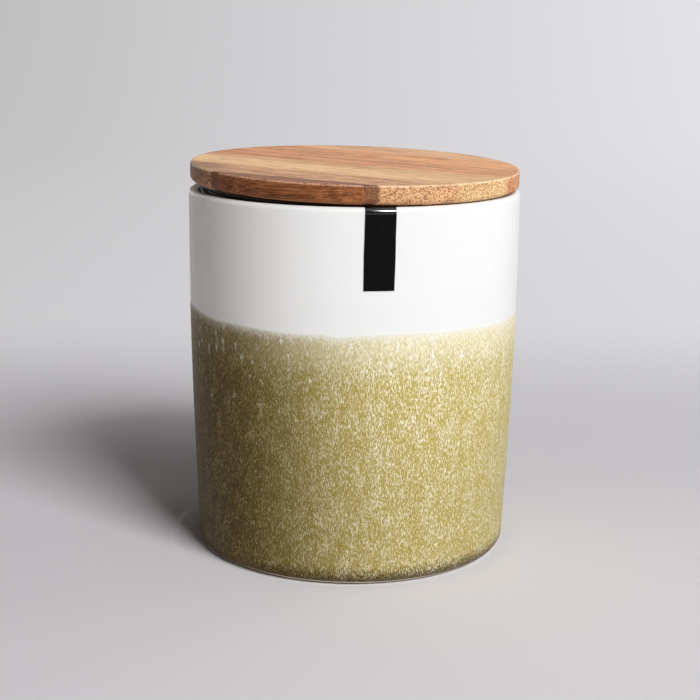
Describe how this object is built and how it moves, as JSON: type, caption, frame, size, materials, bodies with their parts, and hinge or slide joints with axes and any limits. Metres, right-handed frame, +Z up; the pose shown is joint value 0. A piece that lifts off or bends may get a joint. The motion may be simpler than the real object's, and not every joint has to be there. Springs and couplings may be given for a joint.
{
  "type": "kitchen canister",
  "caption": "Round stoneware canister with a two-colour glaze, a staved wooden push-in lid with a ribbed seal, and a bare label strip over the rim.",
  "frame": {"origin": "on the surface that the canister stands on, under the jar's axis", "axes": "+Z up along the jar's axis, -Y towards the front, where the label strip is, and +X to the right seen from the front"},
  "size_m": [0.12, 0.1201, 0.1423],
  "materials": {
    "white_glaze": "satin gloss",
    "olive_glaze": "satin, speckled",
    "label_film": "gloss",
    "silicone": "matte",
    "plug_wood": "oiled",
    "stave_wood_1": "oiled",
    "stave_wood_2": "oiled",
    "stave_wood_3": "oiled",
    "stave_wood_4": "oiled",
    "stave_wood_5": "oiled",
    "stave_wood_6": "oiled"
  },
  "bodies": {
    "jar": {"jar": "white_glaze", "lower_glaze": "olive_glaze", "label": "label_film"},
    "seal": {"seal_ring": "silicone"},
    "lid": {"lid_plug": "plug_wood", "lid_stave_1": "stave_wood_1", "lid_stave_2": "stave_wood_2", "lid_stave_3": "stave_wood_3", "lid_stave_4": "stave_wood_4", "lid_stave_5": "stave_wood_5", "lid_stave_6": "stave_wood_6"}
  },
  "joints": [
    {"name": "lid_lift", "type": "slide", "parent": "jar", "child": "seal", "axis": [0, 0, 1], "range_m": [0, 0.04]},
    {"name": "lid_turn", "type": "hinge", "parent": "seal", "child": "lid", "pos_m": [0, 0, 0.13392], "axis": [0.0187, -0.0208, 0.9996], "continuous": true}
  ]
}
